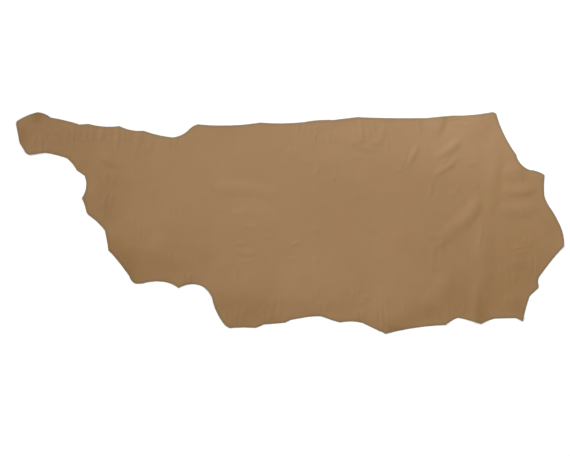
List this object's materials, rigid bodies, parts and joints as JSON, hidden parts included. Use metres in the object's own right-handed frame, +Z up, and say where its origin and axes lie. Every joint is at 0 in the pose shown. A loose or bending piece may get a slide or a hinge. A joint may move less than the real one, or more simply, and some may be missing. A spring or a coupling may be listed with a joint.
{
  "type": "leather hide",
  "caption": "Flat side of tanned leather, grain side up, with a straight back cut, a narrow neck, shanks and a scalloped belly edge, in low soft folds.",
  "frame": {"origin": "centre of the hide's box, on the surface that its flesh side rests on", "axes": "+X along the back from the neck to the rump, +Y from the belly to the back cut, +Z up out of the grain side"},
  "size_m": [2.5, 1.011, 0.0094],
  "materials": {
    "leather": "satin"
  },
  "bodies": {
    "root": {"hide": "leather"}
  },
  "joints": []
}
